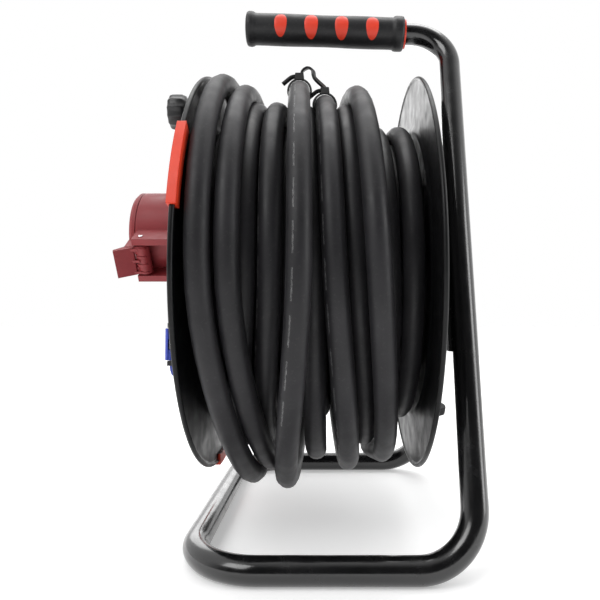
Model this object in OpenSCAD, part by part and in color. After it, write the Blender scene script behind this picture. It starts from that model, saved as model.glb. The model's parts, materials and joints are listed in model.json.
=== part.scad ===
// Extension cord reel: steel drum on a bent tube carrying frame.
// +X runs along the axle towards the carrying post, +Y to the back, +Z up.
// The origin is on the floor, midway between the reel's left and right ends.

/* [Drum] */
// Radius of the steel flanges over the rolled rim
flange_r = 160; // [150:1:165]
// Distance between the outer sides of the two flange rims
drum_w = 166; // [160:0.5:170]
// Radius of the drum core that the cable winds on
core_r = 77; // [74:1:80]

/* [Frame] */
// Outer radius of the frame tube
tube_r = 9; // [8:0.5:10]
// Height of the axle above the floor
axle_z = 203; // [198:1:215]
// Height of the grip above the axle
grip_rise = 210; // [205:1:225]
// Distance of the front and rear base tubes from the axle
foot_y = 130; // [120:1:145]

/* [Cable] */
// Outer diameter of the rubber cable
cable_d = 16; // [13:0.5:17]

/* [Sockets] */
// Radius of the round industrial socket
cee_r = 33; // [31:0.5:34]
// Inner radius of the recess of a household socket
schuko_r = 19.75; // [19:0.25:20]

/* [Hidden] */
$fn = 48;

// Reel's left and right ends, measured from the middle of the drum
reach_left = 142.5;
reach_right = 125.1;
post_top_x = 117;
post_foot_x = 105;
drum_x = (reach_left - reach_right) / 2;

// Flange sheet and its rolled rim
rim_r = 1.6;
sheet_t = 1.5;
sheet_in = drum_w / 2 - rim_r - sheet_t / 2;
sheet_out = sheet_in + sheet_t;

// Frame tube corners, from the middle of the drum
tube_wall = 1.8;
butt = 0.01;
foot_z = tube_r - axle_z;
handle_tilt = 2;
corner_top = [post_top_x, 0, grip_rise];
handle_run = 173;
handle_end = corner_top + handle_run * [-cos(handle_tilt), 0, sin(handle_tilt)];
corner_front = [post_foot_x, -foot_y, foot_z];
corner_rear = [post_foot_x, foot_y, foot_z];
corner_left_front = [-80, -foot_y, foot_z];
corner_left_rear = [-80, foot_y, foot_z];
leg_joint_z = 85;
leg_joint = corner_front
    + (corner_top - corner_front) * (leg_joint_z - foot_z) / (grip_rise - foot_z);
top_bend = 32;
foot_bend = 38;
loop_bend = 48;
lean = atan((post_top_x - post_foot_x) / (grip_rise - foot_z));

// Hub
axle_r = 10;
bush_gap = 0.15;
hub_r = 15.5;
hub_left = -54;
hub_right = 84;

// Grip
grip_left = -60;
grip_right = 78;
grip_r = 13.3;
collar_r = 14.7;
insert_pitch = 26;
insert_first = -30;

// Socket panel: a shallow dome on the left flange
panel_r = 110;
dome_foot_r = 103;
dome_top_r = 97;
dome_top = 98.6;
panel_t = 2.5;
rivet_ring = 106.5;

// Industrial socket
cee_y = -40;
cee_z = 27.5;
cee_turn = -123;
cee_h = 32.5;
cee_hinge_r = 39;
cee_hinge_h = 25.5;
cee_ear = 12.5;

// Household sockets, each [y, z, turn]
schukos = [[-33, -58, 0], [33, -58, 180]];
schuko_top = 7;
schuko_depth = 17.5;
schuko_floor = schuko_top - schuko_depth;
schuko_hinge_y = -27.7;
schuko_hinge_h = 8.7;

// Thermal cut-out and winding knob
cutout_y = 42;
cutout_z = 14;
knob_y = -34;
knob_z = 129;
knob_face = 117.2;

// Winding: three packed layers and the loose turns over them
wind_half = 76.5;
wind_r = core_r + 0.4 + 2.8 * cable_d;
loose_r = 160;
loose_in_r = wind_r + 8.4;
loose_drop = 8;
loose_right = 56;
gland_x = -68.5;

// Plug, tied down at the back of the drum
plug_r = 28.2;
plug_x = 49;
plug_y = 151;
plug_top = 62;
plug_foot = -56;

// Route of the loose end, from the bottom of the winding up to the plug
tail_route = [
    [49, 2, -152], [49, 20, -153], [49, 40, -153], [49, 58, -152], [49, 76, -149],
    [49, 92, -143], [49, 107, -134], [49, 120, -124], [49, 131, -112], [49, 140, -98],
    [49, 147, -82], [49, plug_y, -66], [49, plug_y, plug_foot]];

function unit(v) = v / norm(v);

// Shared helpers

// Moves to the middle of the drum, on the axle
module at_axle() {
    translate([drum_x, 0, axle_z]) children();
}

// Turns something built along +Z so that it runs along +X from the middle of the drum
module along_axle(x = 0) {
    at_axle() translate([x, 0, 0]) rotate([0, 90, 0]) children();
}

// A rivet place on the panel's rim
module on_rivet(i, x) {
    on_left(rivet_ring * cos(60 * i + 20), rivet_ring * sin(60 * i + 20), x) children();
}

// A place on the left face: local x is up, local y is back, local z is outwards
module on_left(y, z, x, turn = 0) {
    at_axle() translate([-x, y, z]) rotate([0, -90, 0]) rotate([0, 0, turn]) children();
}

module ring(outer, inner, h) {
    difference() {
        cylinder(r = outer, h = h);
        translate([0, 0, -1]) cylinder(r = inner, h = h + 2);
    }
}

module tube_section() {
    difference() {
        circle(r = tube_r);
        circle(r = tube_r - tube_wall);
    }
}

// Runs what is built along +Z from a towards b instead
module from_to(a, b) {
    d = b - a;
    translate(a) rotate([0, acos(d.z / norm(d)), atan2(d.y, d.x)]) children();
}

// Straight tube from a to b, a hair short at both ends so that it butts on its bends
module straight(a, b) {
    from_to(a, b) translate([0, 0, butt]) linear_extrude(height = norm(b - a) - 2 * butt)
        tube_section();
}

// Round rod from a to b
module rod(a, b, r) {
    from_to(a, b) cylinder(r = r, h = norm(b - a));
}

// Length that a bend takes off each leg at its corner
function trim(u, v, r) = r * tan(acos(u * v) / 2);

// Tube bend of radius r at corner p, from direction u to direction v
module bend(p, u, v, r) {
    m = unit(v - (u * v) * u);
    n = cross(u, m);
    c = p - u * trim(u, v, r) + m * r;
    multmatrix([
        [-m.x, u.x, n.x, c.x],
        [-m.y, u.y, n.y, c.y],
        [-m.z, u.z, n.z, c.z]])
        rotate_extrude(angle = acos(u * v)) translate([r, 0]) tube_section();
}

// Square plate with round corners, built on the origin
module round_plate(w, h, r, t) {
    linear_extrude(height = t) {
        square([w - 2 * r, h], center = true);
        square([w, h - 2 * r], center = true);
        for (x = [-1, 1], y = [-1, 1])
            translate([x * (w / 2 - r), y * (h / 2 - r)]) circle(r = r);
    }
}

// Frame

down = unit(corner_front - corner_top);
up_rear = unit(leg_joint - corner_rear);
to_right = [1, 0, 0];
along_handle = unit(corner_top - handle_end);
to_back = [0, 1, 0];

module carry_tube() {
    at_axle() color("#1b1b1e") {
        straight(handle_end, corner_top - along_handle * trim(along_handle, down, top_bend));
        bend(corner_top, along_handle, down, top_bend);
        straight(corner_top + down * trim(along_handle, down, top_bend),
            corner_front - down * trim(down, -to_right, foot_bend));
    }
}

module base_tube() {
    foot_cut = trim(down, -to_right, foot_bend);
    rear_cut = trim(to_right, up_rear, foot_bend);
    at_axle() color("#1b1b1e") {
        bend(corner_front, down, -to_right, foot_bend);
        straight(corner_front - to_right * foot_cut, corner_left_front + to_right * loop_bend);
        bend(corner_left_front, -to_right, to_back, loop_bend);
        straight(corner_left_front + to_back * loop_bend, corner_left_rear - to_back * loop_bend);
        bend(corner_left_rear, to_back, to_right, loop_bend);
        straight(corner_left_rear + to_right * loop_bend, corner_rear - to_right * rear_cut);
        bend(corner_rear, to_right, up_rear, foot_bend);
    }
}

module rear_leg() {
    at_axle() color("#1b1b1e") difference() {
        straight(corner_rear + up_rear * trim(to_right, up_rear, foot_bend), leg_joint);
        rod(corner_front, corner_top, tube_r);
    }
}

// Gusset between post and rear leg that carries the axle
module axle_plate() {
    at_axle() color("#2a2a2d") difference() {
        translate([(post_top_x + post_foot_x) / 2, 0, (grip_rise + foot_z) / 2])
            rotate([0, lean, 0]) translate([-11.5, 0, -(grip_rise + foot_z) / 2])
            rotate([90, 0, 90]) linear_extrude(height = 4)
            polygon([[-86, -62], [50, -62], [-8, 30], [-57, 30]]);
        rod(corner_front, corner_top, tube_r);
        rod(corner_rear, leg_joint, tube_r);
        translate([80, 0, 0]) rotate([0, 90, 0]) cylinder(r = axle_r, h = 40);
    }
}

module axle() {
    color("#8d8f92") along_axle(-70) difference() {
        cylinder(r = axle_r, h = 171.2);
        translate([0, 0, 3]) cylinder(r = 6.5, h = 180);
    }
}

module axle_spacer() {
    color("#8d8f92") along_axle(hub_right + 2.3) ring(15, axle_r + 0.05, 12.4);
}

module axle_washer() {
    color("#b9bbbe") along_axle(hub_left - 4.3) ring(17, axle_r + 0.05, 2);
}

module axle_nut() {
    color("#b9bbbe") along_axle(hub_left - 14.3) difference() {
        cylinder(r = 16.5, h = 10, $fn = 6);
        translate([0, 0, -1]) cylinder(r = axle_r + 0.05, h = 12);
    }
}

// Grip

// What sits on the handle tube, which rises a little towards its free end
module on_handle() {
    at_axle() translate(corner_top) rotate([0, handle_tilt, 0]) translate(-corner_top)
        children();
}

module grip_oval() {
    intersection() {
        translate([-7.6, 0]) circle(r = 13);
        translate([7.6, 0]) circle(r = 13);
        circle(r = 10);
    }
}

// All the ovals, as prisms through the grip from both sides
module oval_prisms() {
    for (i = [0:3]) translate([insert_first + i * insert_pitch, 0, grip_rise])
        rotate([90, 0, 0]) linear_extrude(height = 40, center = true) grip_oval();
}

module handle_grip() {
    on_handle() color("#141416") difference() {
        translate([grip_left, 0, grip_rise]) rotate([0, 90, 0]) union() {
            cylinder(r = grip_r, h = grip_right - grip_left);
            translate([0, 0, 1.2]) cylinder(r = collar_r, h = 5);
            translate([0, 0, grip_right - grip_left - 9.5]) cylinder(r = collar_r, h = 8);
        }
        translate([post_top_x - handle_run, 0, grip_rise]) rotate([0, 90, 0])
            cylinder(r = tube_r, h = 200);
        intersection() {
            oval_prisms();
            translate([grip_left, 0, grip_rise]) rotate([0, 90, 0]) ring(20, grip_r - 1.2, 138);
        }
    }
}

module grip_inserts() {
    on_handle() color("#e8452a") intersection() {
        oval_prisms();
        translate([grip_left, 0, grip_rise]) rotate([0, 90, 0])
            ring(grip_r + 0.3, grip_r - 1.2, 138);
    }
}

module grip_end_ring() {
    on_handle() color("#d8452f") translate([grip_right, 0, grip_rise]) rotate([0, 90, 0])
        ring(12, tube_r, 1.5);
}

// Drum

// Flange profile: sheet from the inner radius to the rolled rim, with one pressed rib
module flange_profile(inner) {
    rib_r = 118;
    translate([inner, 0]) square([rib_r - 5 - inner, sheet_t]);
    polygon([[rib_r - 5, 0], [rib_r - 3, -1.4], [rib_r + 3, -1.4], [rib_r + 5, 0],
        [rib_r + 5, sheet_t], [rib_r + 3, sheet_t - 1.4], [rib_r - 3, sheet_t - 1.4],
        [rib_r - 5, sheet_t]]);
    translate([rib_r + 5, 0]) square([flange_r - rim_r - rib_r - 5, sheet_t]);
    translate([flange_r - rim_r, sheet_t / 2]) circle(r = rim_r);
}

module left_flange() {
    color("#17171a") difference() {
        at_axle() translate([-sheet_in, 0, 0]) rotate([0, -90, 0])
            rotate_extrude($fn = 96) flange_profile(core_r - 2.5);
        on_left(knob_y, knob_z, sheet_in - 2) cylinder(r = 4, h = 6);
        for (i = [0:5]) on_rivet(i, sheet_in - 2)
            cylinder(r = 2, h = 6);
    }
}

module right_flange() {
    color("#17171a") difference() {
        along_axle(sheet_in) rotate_extrude($fn = 96) flange_profile(hub_r);
        for (i = [0:2]) along_axle(sheet_in - 2) rotate([0, 0, 120 * i - 50])
            translate([150, 0, 0]) cylinder(r = 1.6, h = 6);
    }
}

module drum_core() {
    color("#202024") difference() {
        along_axle(-sheet_in) ring(core_r, core_r - 1.8, 2 * sheet_in);
        gland_boot();
    }
}

module core_bulkhead() {
    color("#6f7275") along_axle(-50) ring(core_r - 1.8, hub_r, 1.5);
}

module hub_tube() {
    color("#6f7275") along_axle(hub_left) ring(hub_r, axle_r + 3, hub_right - hub_left);
}

module hub_bushes() {
    color("#2c2c30") {
        along_axle(hub_left) ring(axle_r + 3, axle_r + bush_gap, 22);
        along_axle(hub_left - 2) ring(17, axle_r + bush_gap, 2);
        along_axle(hub_right - 22) ring(axle_r + 3, axle_r + bush_gap, 22);
        along_axle(hub_right) ring(17, axle_r + bush_gap, 2);
    }
}

// Three plastic edge clips round the left rim; the first starts 11 degrees above the front
module rim_clips() {
    color("#e8412a") for (i = [0:2])
        on_left(0, 0, sheet_in, 11 - 90 + 120 * i) rotate_extrude(angle = 22) difference() {
            translate([flange_r - 7.5, sheet_t / 2 - 3]) square([9, 6]);
            translate([flange_r - rim_r, sheet_t / 2]) circle(r = rim_r);
            translate([flange_r - 10, 0]) square([9, sheet_t]);
        }
}

// Small wedge buffers riveted on the outside of the right flange
module flange_nubs() {
    color("#1e1e21") for (i = [0:2]) along_axle(sheet_out) rotate([0, 0, 120 * i - 50]) {
        translate([145, 3.5, 0]) rotate([90, 0, 0]) linear_extrude(height = 7)
            polygon([[0, 0], [10, 0], [8, 6], [5, 6]]);
        translate([150, 0, -sheet_t]) cylinder(r = 1.6, h = sheet_t);
    }
}

// Socket panel

module socket_panel() {
    base = sheet_out;
    color("#1a1a1d") difference() {
        at_axle() translate([-base, 0, 0]) rotate([0, -90, 0])
            rotate_extrude($fn = 96) polygon([
                [core_r - 1, 0], [panel_r, 0], [panel_r, panel_t], [dome_foot_r, panel_t],
                [dome_top_r, dome_top - base], [0, dome_top - base],
                [0, dome_top - base - panel_t], [dome_top_r - 2, dome_top - base - panel_t],
                [dome_foot_r - 5, panel_t], [core_r - 1, panel_t]]);
        on_left(cee_y, cee_z, dome_top - 5) cylinder(r = 30, h = 10);
        for (s = schukos) on_left(s[0], s[1], dome_top - 5) cylinder(r = 22, h = 10);
        on_left(cutout_y, cutout_z, dome_top - 5) cylinder(r = 6, h = 10);
        for (i = [0:5]) on_rivet(i, base - 1)
            cylinder(r = 2, h = 6);
        for (i = [0:3]) cee_place() rotate([0, 0, 90 * i + 45]) translate([36, 0, -5])
            cylinder(r = 1.5, h = 10);
    }
}

module panel_rivets() {
    color("#3a3a3e") for (i = [0:5])
        on_rivet(i, sheet_in - 1) {
            cylinder(r = 3.5, h = 1);
            cylinder(r = 2, h = 6);
            translate([0, 0, 1 + sheet_t + panel_t]) cylinder(r = 3.6, h = 1.4);
        }
}

// Winding knob

module knob_spindle() {
    color("#9a9c9f") on_left(knob_y, knob_z, sheet_in - 1) {
        cylinder(r = 7, h = 1);
        cylinder(r = 4, h = knob_face - 4.5 - sheet_in + 1);
        translate([0, 0, 1 + sheet_t]) cylinder(r = 9, h = 3);
    }
}

module winding_knob() {
    foot = sheet_out + 3.4;
    head = 13.5;
    color("#1c1c1f") on_left(knob_y, knob_z, foot) difference() {
        union() {
            rotate_extrude() polygon([[0, 0], [9, 0], [7.6, 5], [8.4, knob_face - foot - head - 3],
                [12, knob_face - foot - head], [0, knob_face - foot - head]]);
            translate([0, 0, knob_face - foot - head]) {
                rotate_extrude() polygon([[0, 0], [12, 0], [13, 1.5], [13, head - 2],
                    [11.5, head], [0, head]]);
                for (i = [0:11]) rotate([0, 0, 30 * i]) translate([12.4, 0, 0.8])
                    cylinder(r = 2.1, h = head - 2.4);
            }
        }
        translate([0, 0, -1]) cylinder(r = 4.3, h = knob_face - foot - 4 + 1);
        translate([0, 0, knob_face - foot - 2]) cylinder(r = 8, h = 3);
    }
}

module knob_cap() {
    color("#303034") on_left(knob_y, knob_z, knob_face - 2) cylinder(r = 8, h = 1.6);
}

// Industrial socket, built with its hinge towards local +x

module cee_place() {
    on_left(cee_y, cee_z, dome_top, cee_turn) children();
}

module cee_housing() {
    color("#9c4a4e") cee_place() difference() {
        union() {
            cylinder(r = 39, h = 3.5);
            translate([0, 0, -10]) cylinder(r = 29.8, h = 12);
            cylinder(r = cee_r, h = cee_h);
            for (s = [-1, 1]) translate([20, s * (cee_ear + 2.5) - 2.5, 3])
                cube([24, 5, cee_hinge_h + 2.5]);
            translate([28, -cee_ear, 3]) cube([12, 2 * cee_ear, 5]);
        }
        translate([0, 0, -7]) cylinder(r = 28.8, h = 60);
        translate([cee_hinge_r, 30, cee_hinge_h]) rotate([90, 0, 0]) cylinder(r = 1.5, h = 60);
        for (i = [0:3]) rotate([0, 0, 90 * i + 45]) translate([36, 0, -1])
            cylinder(r = 1.5, h = 6);
    }
}

module cee_carrier() {
    color("#7d3a3e") cee_place() difference() {
        union() {
            translate([0, 0, -7]) cylinder(r = 28.8, h = 4);
            translate([0, 0, -3]) cylinder(r = 22, h = 30);
        }
        for (i = [0:4]) rotate([0, 0, 72 * i]) translate([15.5, 0, 2])
            cylinder(r = i == 0 ? 4.1 : 3.1, h = 40);
    }
}

module cee_contacts() {
    color("#c9a24a") cee_place() for (i = [0:4]) rotate([0, 0, 72 * i])
        translate([15.5, 0, 2]) ring(i == 0 ? 4.1 : 3.1, i == 0 ? 3.5 : 2.5, 22);
}

module cee_screws() {
    color("#a7a9ac") cee_place() for (i = [0:3]) rotate([0, 0, 90 * i + 45])
        translate([36, 0, 3.5]) difference() {
            union() {
                cylinder(r = 2.6, h = 1.8);
                translate([0, 0, -8]) cylinder(r = 1.5, h = 8);
            }
            translate([0, 0, 1.3]) cube([0.6, 4, 1.2], center = true);
        }
}

module cee_pin() {
    color("#c4c6c9") cee_place() translate([cee_hinge_r, cee_ear + 5.5, cee_hinge_h])
        rotate([90, 0, 0]) cylinder(r = 1.5, h = 2 * cee_ear + 11);
}

module cee_spring() {
    color("#b5b7ba") cee_place() for (i = [-2:2])
        translate([cee_hinge_r, i * 1.5, cee_hinge_h]) rotate([90, 0, 0])
            rotate_extrude() translate([3, 0]) circle(r = 0.6);
}

module cee_lid() {
    seat = cee_h + 0.4;
    color("#a04c50") cee_place() difference() {
        union() {
            translate([0, 0, seat]) cylinder(r = cee_r, h = 2.6);
            translate([0, 0, seat + 2.6]) cylinder(r1 = cee_r - 0.3, r2 = cee_r - 2, h = 2.3);
            // Arms from the disc to the two hinge knuckles
            for (s = [-1, 1]) translate([0, s * 8.3, 0]) rotate([90, 0, 0]) {
                linear_extrude(height = 6.2, center = true) polygon([
                    [27, seat + 0.2], [34.2, seat + 0.2], [34.2, cee_hinge_h + 0.7],
                    [43.4, cee_hinge_h + 0.7], [43.4, seat + 4.1], [27, seat + 4.1]]);
                translate([cee_hinge_r, cee_hinge_h, -3.2]) cylinder(r = 4.8, h = 6.4);
            }
            // Finger tab that flares outwards beyond the hinge
            rotate([90, 0, 0]) linear_extrude(height = 22, center = true)
                polygon([[42, seat - 2], [44.6, seat - 2.4], [50.5, 43.1], [48, 43.8],
                    [42, seat + 3.7]]);
            for (s = [-1, 0, 1])
                translate([42.8, s * 9.3 - 1, cee_hinge_h + 1.4]) cube([2.6, 2, 9]);
        }
        translate([cee_hinge_r, 30, cee_hinge_h]) rotate([90, 0, 0]) cylinder(r = 1.8, h = 60);
        translate([0, 0, seat - 1]) ring(31.5, 29.5, 1.9);
    }
}

module cee_gasket() {
    color("#26262a") cee_place() translate([0, 0, cee_h + 0.2]) ring(31.5, 29.5, 1.1);
}

// Household sockets, built with the hinge towards local -y

module schuko_place(s) {
    on_left(s[0], s[1], dome_top, s[2]) children();
}

module schuko_body(s) {
    color("#1d1d20") schuko_place(s) difference() {
        union() {
            round_plate(48, 48, 6, 3);
            cylinder(r = 24.5, h = schuko_top);
            translate([0, 0, schuko_floor - 2.5]) cylinder(r = 22, h = 14);
            for (x = [-1, 1]) {
                translate([x * 14.2 - 1.8, -30.3, 0]) cube([3.6, 9, 3]);
                translate([x * 14.2 - 1.8, -30.3, 0]) cube([3.6, 5.2, 10.2]);
            }
        }
        translate([0, 0, schuko_floor]) cylinder(r = schuko_r, h = 40);
        translate([30, schuko_hinge_y, schuko_hinge_h]) rotate([0, -90, 0])
            cylinder(r = 1, h = 60);
        for (y = [-1, 1]) translate([0, y * 9.5, schuko_floor - 10]) cylinder(r = 2.7, h = 20);
        for (x = [-1, 1]) translate([x * (schuko_r + 0.4) - 1, -2.5, -8])
            cube([2, 5, 14]);
    }
}

module schuko_body_1() {
    schuko_body(schukos[0]);
}

module schuko_body_2() {
    schuko_body(schukos[1]);
}

module schuko_contacts() {
    color("#c9a24a") for (s = schukos) schuko_place(s) for (y = [-1, 1])
        translate([0, y * 9.5, schuko_floor - 5.7]) ring(2.7, 2.1, 5.6);
}

module schuko_earth_clips() {
    color("#c8cacd") for (s = schukos) schuko_place(s) for (x = [-1, 1])
        translate([x * (schuko_r + 0.7) - 0.6, -2.3, -8]) cube([1.2, 4.6, 13.5]);
}

module schuko_pins() {
    color("#c4c6c9") for (s = schukos) schuko_place(s)
        translate([16, schuko_hinge_y, schuko_hinge_h]) rotate([0, -90, 0])
            cylinder(r = 1, h = 32);
}

module schuko_springs() {
    color("#b5b7ba") for (s = schukos) schuko_place(s) for (i = [-2:2])
        translate([i * 1.2, schuko_hinge_y, schuko_hinge_h]) rotate([0, 90, 0])
            rotate_extrude() translate([1.8, 0]) circle(r = 0.45);
}

module schuko_lid(s) {
    seat = schuko_top + 0.4;
    color("#2f4fc4") schuko_place(s) difference() {
        union() {
            translate([0, 0.6, seat]) round_plate(50, 49, 9, 2.2);
            translate([0, 0.6, seat + 2.2]) round_plate(46, 45, 7, 0.9);
            for (x = [-1, 1]) {
                translate([x * 7.9 - 3.9, schuko_hinge_y, schuko_hinge_h - 0.1])
                    cube([7.8, 6, 2.7]);
                translate([x * 7.9 + 3.9, schuko_hinge_y, schuko_hinge_h])
                    rotate([0, -90, 0]) cylinder(r = 3, h = 7.8);
            }
            translate([-8, 24, seat]) cube([16, 3, 2.2]);
        }
        translate([30, schuko_hinge_y, schuko_hinge_h]) rotate([0, -90, 0])
            cylinder(r = 1.3, h = 60);
    }
}

module schuko_lid_1() {
    schuko_lid(schukos[0]);
}

module schuko_lid_2() {
    schuko_lid(schukos[1]);
}

// Thermal cut-out

module cutout_body() {
    color("#38383c") on_left(cutout_y, cutout_z, dome_top - panel_t) {
        difference() {
            cylinder(r = 5.9, h = panel_t + 3.5);
            translate([0, 0, -1]) cylinder(r = 3.9, h = 10);
        }
        translate([-8, -6, -22]) cube([16, 12, 22]);
    }
}

module cutout_nut() {
    color("#2a2a2e") on_left(cutout_y, cutout_z, dome_top) difference() {
        cylinder(r = 8.5, h = 2.5, $fn = 6);
        translate([0, 0, -1]) cylinder(r = 5.9, h = 5);
    }
}

module reset_button() {
    color("#c9342c") on_left(cutout_y, cutout_z, dome_top + 0.6) rotate_extrude()
        polygon([[0, 0], [3.5, 0], [3.5, 8.6], [2.9, 9.4], [0, 9.4]]);
}

// Wiring behind the panel

module terminal_block() {
    color("#e4e2d8") at_axle() translate([-64, 12, 22]) difference() {
        cube([14, 40, 12]);
        for (i = [0:4]) translate([7, 4 + 8 * i, 8]) cylinder(r = 1.8, h = 5);
    }
}

module panel_leads() {
    color("#7b5230") at_axle() for (i = [0:4])
        rod([-66.5, 14 + 8 * i, 28], [-85.5, -56 + 8 * i, 28], 1.6);
}

// Cable

// Boot that brings the cable out of the core and on to its first turn
module gland_boot() {
    at_axle() translate([gland_x, 0, core_r + cable_d / 2]) {
        translate([0, 26, 0]) rotate([90, 0, 0]) cylinder(r = 9.6, h = 26);
        translate([-7, 0, -14]) cube([14, 26, 12]);
    }
}

module cable_gland() {
    color("#29292c") gland_boot();
}

module cable_winding() {
    color("#242426") difference() {
        along_axle(-wind_half) ring(wind_r, core_r + 0.2, 2 * wind_half);
        gland_boot();
    }
}

module cable_loose_turns() {
    color("#2b2b2e") difference() {
        translate([0, 0, -loose_drop]) along_axle(-wind_half)
            ring(loose_r, loose_in_r, wind_half + loose_right);
        at_axle() translate([plug_x - plug_r - 1, 2, -175]) cube([60, 200, 245]);
    }
}

// Swept tube along a list of points, with rings square to the path
sides = 10;
function course(p, i) = unit(p[min(i + 1, len(p) - 1)] - p[max(i - 1, 0)]);
function ring_points(p, i, r) = let (t = course(p, i), a = [1, 0, 0], b = unit(cross(t, a)))
    [for (k = [0:sides - 1]) p[i] + r * (cos(360 * k / sides) * unit(cross(b, t))
        + sin(360 * k / sides) * b)];

module swept(p, r) {
    points = [for (i = [0:len(p) - 1]) each ring_points(p, i, r)];
    walls = [for (i = [0:len(p) - 2], k = [0:sides - 1]) let (n = (k + 1) % sides)
        [i * sides + k, (i + 1) * sides + k, (i + 1) * sides + n, i * sides + n]];
    first = [for (k = [0:sides - 1]) k];
    last = [for (k = [sides - 1:-1:0]) (len(p) - 1) * sides + k];
    polyhedron(points = points, faces = concat(walls, [first, last]), convexity = 4);
}

module cable_tail() {
    color("#2b2b2e") at_axle() swept(tail_route, cable_d / 2);
}

module cable_tie() {
    color("#0e0e10") at_axle() translate([-11, 0, 143]) rotate([90, 0, 0]) {
        translate([0, 0, -2.4]) ring(cable_d / 2 + 1.6, cable_d / 2 + 0.2, 4.8);
        translate([5, 7, -3.5]) cube([8, 5, 7]);
    }
}

// Plug, standing on its cable gland

module plug_place(z = 0) {
    at_axle() translate([plug_x, plug_y, z]) children();
}

module plug_body() {
    color("#1d1d20") plug_place(plug_foot + 22) difference() {
        rotate_extrude() polygon([[0, 0], [17, 0], [21, 4], [23, 16], [23, 46], [26, 50],
            [26, 54], [0, 54]]);
        for (i = [0:7]) rotate([0, 0, 45 * i]) translate([24.6, 0, 8])
            cylinder(r = 2.6, h = 34);
    }
}

module plug_shroud() {
    color("#9c4a4e") plug_place(plug_foot + 76) difference() {
        union() {
            cylinder(r = 27, h = plug_top - plug_foot - 76);
            cylinder(r = plug_r, h = 8);
            translate([-3, -plug_r, 0]) cube([6, 3, plug_top - plug_foot - 76]);
        }
        translate([0, 0, 4]) cylinder(r = 25, h = 80);
    }
}

module plug_pins() {
    color("#cfd0d2") plug_place(plug_foot + 80) for (i = [0:4]) rotate([0, 0, 72 * i - 90])
        translate([15.5, 0, 0]) rotate_extrude() polygon([[0, 0], [i == 0 ? 3.4 : 2.4, 0],
            [i == 0 ? 3.4 : 2.4, 32], [i == 0 ? 2.6 : 1.8, 33.5], [0, 33.5]]);
}

module plug_gland() {
    color("#17171a") plug_place(plug_foot) difference() {
        union() {
            rotate_extrude() polygon([[0, 0], [11, 0], [14.5, 6], [16.5, 8], [16.5, 22], [0, 22]]);
            for (i = [0:11]) rotate([0, 0, 30 * i]) translate([16, 0, 9]) cylinder(r = 1.2, h = 11);
        }
    }
}

carry_tube();
base_tube();
rear_leg();
axle_plate();
axle();
axle_spacer();
axle_washer();
axle_nut();
handle_grip();
grip_inserts();
grip_end_ring();
left_flange();
right_flange();
drum_core();
core_bulkhead();
hub_tube();
hub_bushes();
rim_clips();
flange_nubs();
socket_panel();
panel_rivets();
knob_spindle();
winding_knob();
knob_cap();
cee_housing();
cee_carrier();
cee_contacts();
cee_screws();
cee_pin();
cee_spring();
cee_lid();
cee_gasket();
schuko_body_1();
schuko_body_2();
schuko_contacts();
schuko_earth_clips();
schuko_pins();
schuko_springs();
schuko_lid_1();
schuko_lid_2();
cutout_body();
cutout_nut();
reset_button();
terminal_block();
panel_leads();
cable_gland();
cable_winding();
cable_loose_turns();
cable_tail();
cable_tie();
plug_body();
plug_shroud();
plug_pins();
plug_gland();
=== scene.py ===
"""Looks of the extension cord reel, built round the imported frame."""

import json
import math
import random

import bpy
from mathutils import Matrix, Vector

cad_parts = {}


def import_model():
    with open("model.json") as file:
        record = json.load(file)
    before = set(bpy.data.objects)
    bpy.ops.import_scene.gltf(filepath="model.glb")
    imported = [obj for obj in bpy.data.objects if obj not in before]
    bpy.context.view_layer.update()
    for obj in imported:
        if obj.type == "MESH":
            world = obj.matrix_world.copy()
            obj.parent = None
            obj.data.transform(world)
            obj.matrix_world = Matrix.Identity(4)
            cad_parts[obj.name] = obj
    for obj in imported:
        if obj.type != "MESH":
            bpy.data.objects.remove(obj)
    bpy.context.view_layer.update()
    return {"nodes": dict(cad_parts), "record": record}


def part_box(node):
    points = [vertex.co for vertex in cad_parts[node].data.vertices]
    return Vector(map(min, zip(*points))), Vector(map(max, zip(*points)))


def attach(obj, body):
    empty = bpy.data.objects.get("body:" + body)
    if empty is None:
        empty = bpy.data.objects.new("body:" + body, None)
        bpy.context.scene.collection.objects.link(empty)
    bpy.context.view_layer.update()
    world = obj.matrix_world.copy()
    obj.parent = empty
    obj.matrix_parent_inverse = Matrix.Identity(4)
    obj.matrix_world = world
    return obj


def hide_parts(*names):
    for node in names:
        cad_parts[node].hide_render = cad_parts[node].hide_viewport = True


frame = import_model()

# Places in this script are in millimetres from the middle of the drum, on its axle
MM = 0.001
left_lo, left_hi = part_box("left_flange")
right_lo, right_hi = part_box("right_flange")
AXLE = Vector(((left_lo[0] + right_hi[0]) / 2, 0.0, (left_lo[2] + left_hi[2]) / 2))
TO_WORLD = Matrix.Translation(AXLE) @ Matrix.Scale(MM, 4)

# Drum: flange radius, sheet place and thickness, core radius, and the socket panel's dome
FLANGE_R = 160.0
SHEET_IN = 80.65
SHEET_T = 1.5
CORE_R = 77.0
DOME_TOP = 98.6
CABLE_D = 16.0
# Frame: tube radius, height of the handle's corner and how far the handle rises, in degrees
TUBE_R = 9.0
GRIP_RISE = 210.0
HANDLE_TILT = 2.0
# Sockets on the left face: place (y, z), turn, and where the hinge is in the socket's own place
CEE_SOCKET = (-40.0, 27.5, -123.0)
CEE_HINGE = (39.0, 0.0, 25.5)
HOUSEHOLD_SOCKETS = ((-33.0, -58.0, 0.0), (33.0, -58.0, 180.0))
HOUSEHOLD_HINGE = (0.0, -27.7, 8.7)


def world(point):
    """A drum point in millimetres as a world point in metres."""
    return tuple(TO_WORLD @ Vector(point))


# ---------------------------------------------------------------- camera and light

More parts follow.
